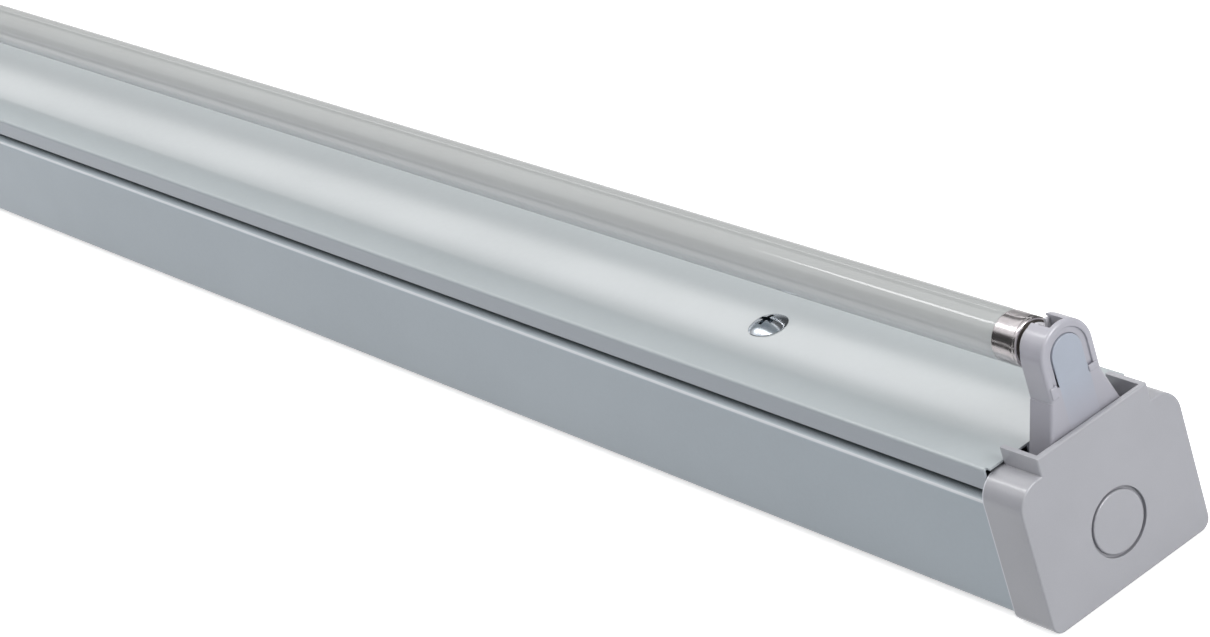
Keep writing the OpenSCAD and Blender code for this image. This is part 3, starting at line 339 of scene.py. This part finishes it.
def mergedCopy(nodeName):
    # A CAD solid as one closed mesh with its flat faces whole
    shape = bmesh.new()
    shape.from_mesh(nodes[nodeName].data)
    bmesh.ops.remove_doubles(shape, verts=shape.verts, dist=closeTo["weld"])
    bmesh.ops.dissolve_limit(shape, angle_limit=math.radians(edgeAngles["flat"]),
                             use_dissolve_boundaries=False, verts=shape.verts, edges=shape.edges,
                             delimit=set())
    return shape


def roundEdges(shape, edges, width, segments, clamp=True):
    bmesh.ops.bevel(shape, geom=edges, offset=width * mm, offset_type="OFFSET", segments=segments,
                    profile=0.5, affect="EDGES", clamp_overlap=clamp, material=-1)


def cutAcross(shape, high):
    bmesh.ops.bisect_plane(shape, geom=shape.verts[:] + shape.edges[:] + shape.faces[:],
                           dist=closeTo["weld"], plane_co=(0, 0, high * mm), plane_no=(0, 0, 1))


def finishRounding(shape, pieceName, nodeName):
    smoothFaces(shape, edgeAngles["moulded"])
    piece = addPiece(pieceName, shape, nodeName)
    level = piece.modifiers.new("levelNormals", "WEIGHTED_NORMAL")
    level.keep_sharp = True


def sharpEdges(shape):
    return [edge for edge in shape.edges
            if edge.is_manifold and edge.calc_face_angle(0) > math.radians(edgeAngles["sharp"])]


def standsAt(vert, axis, place):
    # Whether a vertex is that far from the middle along an axis, on either side
    return abs(abs(getattr(vert.co, axis)) - place * mm) < closeTo["plane"]


def outlineEdges(shape, outline):
    # The edges round the outside of a moulding's front, which stand clear of what is sunk into it
    chosen = []
    for edge in sharpEdges(shape):
        out = max(math.hypot(v.co.y, max(v.co.z - outline["centre"] * mm, 0)) for v in edge.verts)
        if (all(standsAt(v, "x", outline["front"]) for v in edge.verts)
                and out > outline["clear"] * mm):
            chosen.append(edge)
    return chosen


# End caps, rotors and turn fasteners. Widths of the rounded edges are in millimetres, as a mould
# leaves them, and so are all places.
edgeRounds = {"end_cap": 0.2, "rotor": 0.2, "turn_fastener": 0.25, "steps": 2}
capOutline = {"front": 591.5, "centre": 20, "clear": 14, "width": 0.6, "steps": 5,
              "rim": 574.1, "rimFacing": 0.3, "rimWidth": 0.5, "rimSteps": 4}
knockoutDisc = {"radius": 10.1, "high": 21.2, "width": 0.6, "steps": 4}


def rimEdges(shape):
    # The outer edges of the cap's open end
    chosen = []
    for edge in sharpEdges(shape):
        middle = (edge.verts[0].co + edge.verts[1].co) / 2
        outward = Vector((0, middle.y, middle.z - capOutline["centre"] * mm))
        enough = capOutline["rimFacing"] * outward.length
        if (all(standsAt(v, "x", capOutline["rim"]) for v in edge.verts)
                and any(face.normal.dot(outward) > enough for face in edge.link_faces)):
            chosen.append(edge)
    return chosen


def discEdges(shape):
    # The rim of the knockout, whose edge is softer than the other side of its groove
    disc = knockoutDisc
    chosen = []
    for edge in sharpEdges(shape):
        off = [abs(math.hypot(v.co.y, v.co.z - disc["high"] * mm) - disc["radius"] * mm)
               for v in edge.verts]
        if (all(standsAt(v, "x", capOutline["front"]) for v in edge.verts)
                and max(off) < closeTo["circle"]):
            chosen.append(edge)
    return chosen


def roundedPiece(pieceName, nodeName):
    shape = mergedCopy(nodeName)
    kind = nodeName.rsplit("_", 1)[0]
    if kind == "end_cap":
        cap = capOutline
        roundEdges(shape, outlineEdges(shape, cap), cap["width"], cap["steps"], clamp=False)
        roundEdges(shape, discEdges(shape), knockoutDisc["width"], knockoutDisc["steps"])
        roundEdges(shape, rimEdges(shape), cap["rimWidth"], cap["rimSteps"])
    roundEdges(shape, sharpEdges(shape), edgeRounds[kind], edgeRounds["steps"])
    finishRounding(shape, pieceName, nodeName)


# Lampholders. The stops are the small soft blocks that end the groove round the cover, each from
# (y, z) to (y, z).
holderShape = {
    "front": 588.8, "centre": 79, "clear": 9.3, "width": 1.1, "steps": 5,
    "pocket": 6, "edge": 0.3, "edgeSteps": 2,
    "stepHigh": 67.4, "stepFrom": 10.55, "stepTo": 10.4, "stepOut": 0.22, "stepTall": 0.05,
    "stopFront": 588.75, "stopProud": 0.45, "stopRound": 0.42, "stopSteps": 3,
    "stops": [((-9.8, 68.2), (-7, 72.2)), ((5.7, 69.4), (9.4, 71.6))],
}


def addStops(shape, away):
    at = holderShape
    for low, high in at["stops"]:
        size = (2 * at["stopProud"], high[0] - low[0], high[1] - low[1])
        place = (away * at["stopFront"], (low[0] + high[0]) / 2, (low[1] + high[1]) / 2)
        made = bmesh.ops.create_cube(shape, size=mm)["verts"]
        bmesh.ops.scale(shape, vec=size, verts=made)
        bmesh.ops.translate(shape, vec=[c * mm for c in place], verts=made)
        roundEdges(shape, list({e for v in made for e in v.link_edges}), at["stopRound"],
                   at["stopSteps"])


def holderPiece(pieceName, nodeName, away):
    # The step at the flare is welded away while the outline is rounded, and cut again after that
    at = holderShape
    shape = mergedCopy(nodeName)
    for v in shape.verts:
        if standsAt(v, "z", at["stepHigh"]) and standsAt(v, "y", at["stepFrom"]):
            v.co.y = math.copysign(at["stepTo"] * mm, v.co.y)
    bmesh.ops.remove_doubles(shape, verts=shape.verts, dist=closeTo["weld"])
    roundEdges(shape, outlineEdges(shape, at), at["width"], at["steps"], clamp=False)
    seam = [edge for edge in shape.edges
            if all(standsAt(v, "x", at["front"]) and standsAt(v, "y", at["pocket"])
                   for v in edge.verts)]
    inner = [edge for edge in sharpEdges(shape)
             if edge not in seam and edge.calc_length() > at["edge"] * mm]
    roundEdges(shape, inner, at["edge"], at["edgeSteps"], clamp=False)
    cutAcross(shape, at["stepHigh"])
    cutAcross(shape, at["stepHigh"] + at["stepTall"])
    for v in shape.verts:
        if (v.co.z < (at["stepHigh"] + at["stepTall"] / 2) * mm
                and abs(v.co.y) > at["clear"] * mm):
            v.co.y += math.copysign(at["stepOut"] * mm, v.co.y)
    addStops(shape, away)
    finishRounding(shape, pieceName, nodeName)


# Covers: sunk and rounded inside the groove, and flush with the lampholder below the ramp
coverShape = {"front": 588.6, "side": 5.9, "pocket": 6, "flush": 0.19,
              "rampLow": 69.5, "rampHigh": 72.5, "rampMargin": 0.1, "edge": 0.3, "edgeSteps": 3}


def coverPiece(pieceName, nodeName, away):
    at = coverShape
    shape = mergedCopy(nodeName)
    cutAcross(shape, at["rampHigh"])
    cutAcross(shape, at["rampLow"])
    upper = [edge for edge in sharpEdges(shape)
             if all(v.co.z > (at["rampHigh"] - at["rampMargin"]) * mm
                    and standsAt(v, "x", at["front"]) for v in edge.verts)]
    roundEdges(shape, upper, at["edge"], at["edgeSteps"])
    for v in shape.verts:
        if v.co.z < (at["rampLow"] + at["rampMargin"]) * mm and standsAt(v, "x", at["front"]):
            v.co.x += away * at["flush"] * mm
            if abs(v.co.y) > at["side"] * mm:
                v.co.y = math.copysign(at["pocket"] * mm, v.co.y)
    finishRounding(shape, pieceName, nodeName)


for side, away in (("near", 1), ("far", -1)):
    roundedPiece("endCap" + side.title(), "end_cap_" + side)
    holderPiece("lampholder" + side.title(), "lampholder_" + side, away)
    coverPiece("holderCover" + side.title(), "holder_cover_" + side, away)
    roundedPiece("rotor" + side.title(), "rotor_" + side)
    roundedPiece("turnFastener" + side.title(), "turn_fastener_" + side)
print("rounded pieces made")


# Lamp. Profiles run as (distance from the near cap's face, radius) in millimetres.
lampEnd = {"half": 574.5, "axis": 79, "sides": 96, "glassWall": 0.8}
capProfile = [
    (0, 7.1), (0, 7.45), (0.08, 7.68), (0.3, 7.9), (0.6, 7.98), (0.95, 7.94), (1.2, 7.8),
    (1.4, 7.76), (1.6, 7.8), (1.85, 7.93), (2.1, 7.97), (5, 7.98), (8.6, 7.98), (9.3, 7.99),
    (9.7, 8), (9.93, 7.97), (9.98, 7.88), (9.9, 7.74), (9.4, 7.7), (5, 7.7), (1.9, 7.7),
    (0.5, 7.62), (0.3, 7.4), (0.3, 7.1),
]
# The tube's edge round the stem, outside and then inside, and the rest of its end outside
tubeRim = [(1.8, 2.72), (1.9, 4.4)]
tubeRimInside = [(2.62, 2.72), (2.75, 4.2)]
tubeProfile = [
    (2.2, 6.2), (2.8, 7.2), (3.8, 7.58), (5.2, 7.65), (9.9, 7.65), (10.5, 7.7), (11.2, 7.82),
    (12, 7.92), (13, 7.98), (14.5, 8),
]


def turnedShape(profile, mirrored=False):
    # Spins a closed profile round the lamp's axis
    shape = bmesh.new()
    spots = [shape.verts.new(((lampEnd["half"] - along) * mm, 0, (lampEnd["axis"] + out) * mm))
             for along, out in profile]
    rim = [shape.edges.new((a, b)) for a, b in zip(spots, spots[1:] + spots[:1])]
    bmesh.ops.spin(shape, geom=spots + rim, cent=(0, 0, lampEnd["axis"] * mm), axis=(1, 0, 0),
                   angle=math.tau, steps=lampEnd["sides"], use_merge=True, use_duplicate=False)
    bmesh.ops.remove_doubles(shape, verts=shape.verts, dist=closeTo["weld"])
    if mirrored:
        bmesh.ops.scale(shape, vec=(-1, 1, 1), verts=shape.verts)
    bmesh.ops.recalc_face_normals(shape, faces=shape.faces)
    smoothFaces(shape, edgeAngles["turned"])
    return shape


def bothEnds(profile):
    # Continues a profile of the near end to its mirror image at the far end
    length = 2 * lampEnd["half"]
    return profile + [(length - along, out) for along, out in reversed(profile)]


addPiece("lampCapNear", turnedShape(capProfile), "lamp_cap_near")
addPiece("lampCapFar", turnedShape(capProfile, True), "lamp_cap_far")

wall = lampEnd["glassWall"]
outside = bothEnds(tubeRim + tubeProfile)
inside = bothEnds(tubeRimInside + [(along + wall, out - wall) for along, out in tubeProfile])
addPiece("lampTube", turnedShape(outside + inside[::-1]), "lamp_tube")
print("lamp made")


# Leads: insulated wire on smooth routes. A route is a row of places in millimetres.
leadWire = {"radius": 0.9, "roundness": 3, "smooth": 8, "order": 3}
leadStops = {
    "nearStrip": 234, "farStrip": -14, "stripZ": 37.05, "laneY": 18.4, "laneStep": 2.3,
    "laneZ": 50.35, "contactX": 582.1, "contactY": 3.955, "contactZ": 44, "contactLift": 2,
    "straight": 16, "rise": 20, "drop": 40, "low": 50, "settled": 0.75,
    "block": -79, "blockZ": 45.4, "pole": 9, "outOfBlock": 9, "intoStrip": 8,
    "nearEntries": (2, 6), "farEntries": (5, 9), "mainsEntries": (-9, -4.5, 0),
}


def lampRoutes(start, end, entries):
    # The two leads that run side by side under the tray, from a terminal strip to the contacts
    # of a lampholder
    at = leadStops
    away = math.copysign(1, end - start)
    level = end - away * at["low"]
    routes = []
    for lane, entry in enumerate(entries):
        side = at["laneY"] + lane * at["laneStep"]
        foot = (2 * lane - 1) * at["contactY"]
        routes.append([
            (start, entry, at["stripZ"]),
            (start + away * at["straight"] / 2, entry, at["stripZ"]),
            (start + away * at["straight"], entry, at["stripZ"]),
            (start + away * (at["straight"] + at["rise"]), side, at["laneZ"]),
            (start + away * (at["straight"] + 2 * at["rise"]), side, at["laneZ"]),
            (level - away * (at["drop"] + at["rise"]), side, at["laneZ"]),
            (level - away * at["drop"], side, at["laneZ"]),
            (level, foot, at["contactZ"] + at["contactLift"]),
            (level + away * at["low"] / 2, foot, at["contactZ"]),
            (level + away * at["low"] * at["settled"], foot, at["contactZ"]),
            (end, foot, at["contactZ"]),
        ])
    return routes


def mainsRoutes(entries):
    # The three leads from the supply terminal block to the ballast
    at = leadStops
    return [[
        (at["block"], pole * at["pole"], at["blockZ"]),
        (at["block"] + at["outOfBlock"], pole * at["pole"], at["blockZ"]),
        (at["block"] + at["straight"], pole * at["pole"], at["blockZ"]),
        (at["farStrip"] - at["straight"], entry, at["stripZ"]),
        (at["farStrip"] - at["intoStrip"], entry, at["stripZ"]),
        (at["farStrip"], entry, at["stripZ"]),
    ] for pole, entry in zip((-1, 0, 1), entries)]


def addLeads(name, routes, nodeName):
    wire = bpy.data.curves.new(name, "CURVE")
    wire.dimensions = "3D"
    wire.bevel_depth = leadWire["radius"] * mm
    wire.bevel_resolution = leadWire["roundness"]
    wire.use_fill_caps = True
    wire.resolution_u = leadWire["smooth"]
    for route in routes:
        line = wire.splines.new("NURBS")
        line.points.add(len(route) - 1)
        line.order_u = leadWire["order"]
        line.use_endpoint_u = True
        for point, spot in zip(line.points, route):
            point.co = [c * mm for c in spot] + [1]
    standFor(bpy.data.objects.new(name, wire), nodeName)


nearRoutes = lampRoutes(leadStops["nearStrip"], leadStops["contactX"], leadStops["nearEntries"])
farRoutes = lampRoutes(leadStops["farStrip"], -leadStops["contactX"], leadStops["farEntries"])
addLeads("lampLeadsNear", nearRoutes, "lamp_leads_near")
addLeads("lampLeadsFar", farRoutes, "lamp_leads_far")
addLeads("mainsLeads", mainsRoutes(leadStops["mainsEntries"]), "mains_leads")
print("leads laid")


# Studio: a white ground in a pale room. Whatever looks at them plainly, through glass or off a
# glossy face sees them white, and all else gets only a soft bounce.
studio = {"seenWhite": 1, "sides": 0.23, "sidesTint": "#F8FAFF",
          "ground": "#F7F7F7", "groundBounce": "#BCBFC3", "groundLift": 0.6, "groundInGloss": 0.85,
          "groundSize": 16, "groundDrop": 0.0003}
studioWhite = (1, 1, 1, 1)

world = bpy.data.worlds.new("studio")
bpy.context.scene.world = world
groundPaper = bpy.data.materials.new("whitePaper")
# "seen" tells a ray that looks plainly, for the world and for the ground
rays, seen = {}, {}
for owner in (world, groundPaper):
    owner.use_nodes = True
    tree = owner.node_tree
    tree.nodes.clear()
    rays[owner.name] = addNode(tree, "ShaderNodeLightPath")
    seen[owner.name] = rays[owner.name].outputs["Is Camera Ray"]
    for kind in ("Is Transmission Ray", "Is Glossy Ray"):
        either = addNode(tree, "ShaderNodeMath", {"operation": "MAXIMUM"},
                         {0: seen[owner.name], 1: rays[owner.name].outputs[kind]})
        seen[owner.name] = either.outputs[0]

tree = world.node_tree
white = addNode(tree, "ShaderNodeBackground", None,
                {"Color": studioWhite, "Strength": studio["seenWhite"]})
sides = addNode(tree, "ShaderNodeBackground", None,
                {"Color": linear(studio["sidesTint"]), "Strength": studio["sides"]})
sky = addNode(tree, "ShaderNodeMixShader", None,
              {0: seen[world.name], 1: sides.outputs[0], 2: white.outputs[0]})
addNode(tree, "ShaderNodeOutputWorld", None, {"Surface": sky.outputs[0]})

tree = groundPaper.node_tree
bounce = addNode(tree, "ShaderNodeBsdfDiffuse", None, {"Color": linear(studio["groundBounce"])})
paper = addNode(tree, "ShaderNodeBsdfDiffuse", None, {"Color": linear(studio["ground"])})
glow = addNode(tree, "ShaderNodeEmission", None,
               {"Color": studioWhite, "Strength": studio["groundLift"]})
lifted = addNode(tree, "ShaderNodeAddShader", None, {0: paper.outputs[0], 1: glow.outputs[0]})
even = addNode(tree, "ShaderNodeEmission", None,
               {"Color": studioWhite, "Strength": studio["groundInGloss"]})
lifted = addNode(tree, "ShaderNodeMixShader", None,
                 {0: rays[groundPaper.name].outputs["Is Glossy Ray"],
                  1: lifted.outputs[0], 2: even.outputs[0]})
pick = addNode(tree, "ShaderNodeMixShader", None,
               {0: seen[groundPaper.name], 1: bounce.outputs[0], 2: lifted.outputs[0]})
addNode(tree, "ShaderNodeOutputMaterial", None, {"Surface": pick.outputs[0]})


def addStage(name, size, place, turn, material, lean=0):
    # A flat square sheet of the studio, scaled to its size, then turned in its own plane and tilted
    shape = bmesh.new()
    bmesh.ops.create_grid(shape, x_segments=1, y_segments=1, size=0.5)
    bmesh.ops.scale(shape, vec=(size[0], size[1], 1), verts=shape.verts)
    for angle, axis in ((lean, "Z"), (turn, "X")):
        bmesh.ops.rotate(shape, cent=(0, 0, 0), verts=shape.verts,
                         matrix=Matrix.Rotation(math.radians(angle), 3, axis))
    bmesh.ops.translate(shape, vec=place, verts=shape.verts)
    mesh = bpy.data.meshes.new(name)
    shape.to_mesh(mesh)
    shape.free()
    mesh.materials.append(material)
    sheet = bpy.data.objects.new(name, mesh)
    bpy.context.scene.collection.objects.link(sheet)
    return sheet


addStage("ground", (studio["groundSize"], studio["groundSize"]), (0, 0, -studio["groundDrop"]), 0,
         groundPaper)

# Cards that only reflections see, in metres and degrees. Behind the batten stand grey backs, dark
# at the camera's end. Over it hang a dark card, a soft one, a bright key and a narrow streak whose
# reflection runs along the tray. On the camera's side a dark flag and a dark sheet on the floor
# give the metal its dark band. A card that fades does so along X, between two places.
cards = {
    "backCardLow": {"size": (14, 2.5), "place": (-2, 2.6, 1.26), "turn": 90, "grey": 0.1,
                    "fadesTo": 0.55, "between": (-1, -2.5)},
    "backCardHigh": {"size": (14, 1.2), "place": (-2, 2.6, 3.1), "turn": 90, "grey": 0.1,
                     "fadesTo": 0.4, "between": (-1, -2.5)},
    "backCardTop": {"size": (14, 1.2), "place": (-2, 2, 3.7), "turn": 0, "grey": 0.1,
                    "fadesTo": 0.12, "between": (-1, -2.5)},
    "darkCard": {"size": (14, 0.9), "place": (-2, 1.45, 2.25), "turn": 0, "grey": 0.13},
    "softCard": {"size": (14, 3.2), "place": (-2, -0.6, 2.2), "turn": 0, "grey": 1.1,
                 "fadesTo": 0.45, "between": (-1.6, -5)},
    "keyCard": {"size": (2.4, 0.3), "place": (-0.1, -0.55, 1.58), "turn": -20, "grey": 7},
    "streakCard": {"size": (12, 0.03), "place": (-2, 0.8165, 0.8398), "turn": 133, "lean": -0.22,
                   "grey": 4.2, "fadesTo": 2.3, "between": (-0.5, -2)},
    "frontFlag": {"size": (9, 1.35), "place": (-2, -1.6, 0.78), "turn": 90, "grey": 0.05},
    "frontFloor": {"size": (9, 1.2), "place": (-2, -0.8, 0.002), "turn": 0, "grey": 0.05},
}
for name, card in cards.items():
    paper = bpy.data.materials.new(name)
    paper.use_nodes = True
    tree = paper.node_tree
    tree.nodes.clear()
    tone = addNode(tree, "ShaderNodeEmission", None,
                   {"Color": studioWhite, "Strength": card["grey"]})
    if "fadesTo" in card:
        along = addNode(tree, "ShaderNodeSeparateXYZ", None,
                        {0: addNode(tree, "ShaderNodeTexCoord").outputs["Object"]})
        level = addNode(tree, "ShaderNodeMapRange", None,
                        {"Value": along.outputs["X"], "From Min": card["between"][0],
                         "From Max": card["between"][1],
                         "To Min": card["grey"], "To Max": card["fadesTo"]})
        tree.links.new(level.outputs["Result"], tone.inputs["Strength"])
    addNode(tree, "ShaderNodeOutputMaterial", None, {"Surface": tone.outputs[0]})
    sheet = addStage(name, card["size"], card["place"], card["turn"], paper, card.get("lean", 0))
    for kind in ("camera", "diffuse", "transmission", "volume_scatter", "shadow"):
        setattr(sheet, "visible_" + kind, False)

# Lamps. The level is the brightness of a lamp's face, and its width lies along "across".
lamps = {
    "overhead": {"place": (-1.5, 0.25, 2.2), "aim": (-1.5, 0.25, 0), "size": (5.9, 3.6),
                 "level": 1.65, "across": (1, 0, 0), "inGloss": False},
    "fill": {"place": (2.7, 0.4, 1.1), "aim": (0.6, 0, 0.03), "size": (1.3, 1.3),
             "level": 8, "across": (0, 1, 0), "inGloss": True},
    "farSide": {"place": (-2.6, -1.5, 1.1), "aim": (-0.5, 0, 0.05), "size": (2, 1.2),
                "level": 5, "across": (1, 0, 0), "inGloss": False},
}
for name, lamp in lamps.items():
    lit = bpy.data.lights.new(name, "AREA")
    lit.shape = "RECTANGLE"
    lit.size, lit.size_y = lamp["size"]
    lit.energy = lamp["level"] * math.pi * lamp["size"][0] * lamp["size"][1]
    stand = bpy.data.objects.new(name, lit)
    stand.location = lamp["place"]
    back = (Vector(lamp["place"]) - Vector(lamp["aim"])).normalized()
    up = back.cross(Vector(lamp["across"])).normalized()
    across = up.cross(back)
    stand.rotation_mode = "QUATERNION"
    stand.rotation_quaternion = Matrix((across, up, back)).transposed().to_quaternion()
    bpy.context.scene.collection.objects.link(stand)
    stand.visible_glossy = lamp["inGloss"]

bpy.context.scene.view_settings.view_transform = "Standard"
print("studio lit")
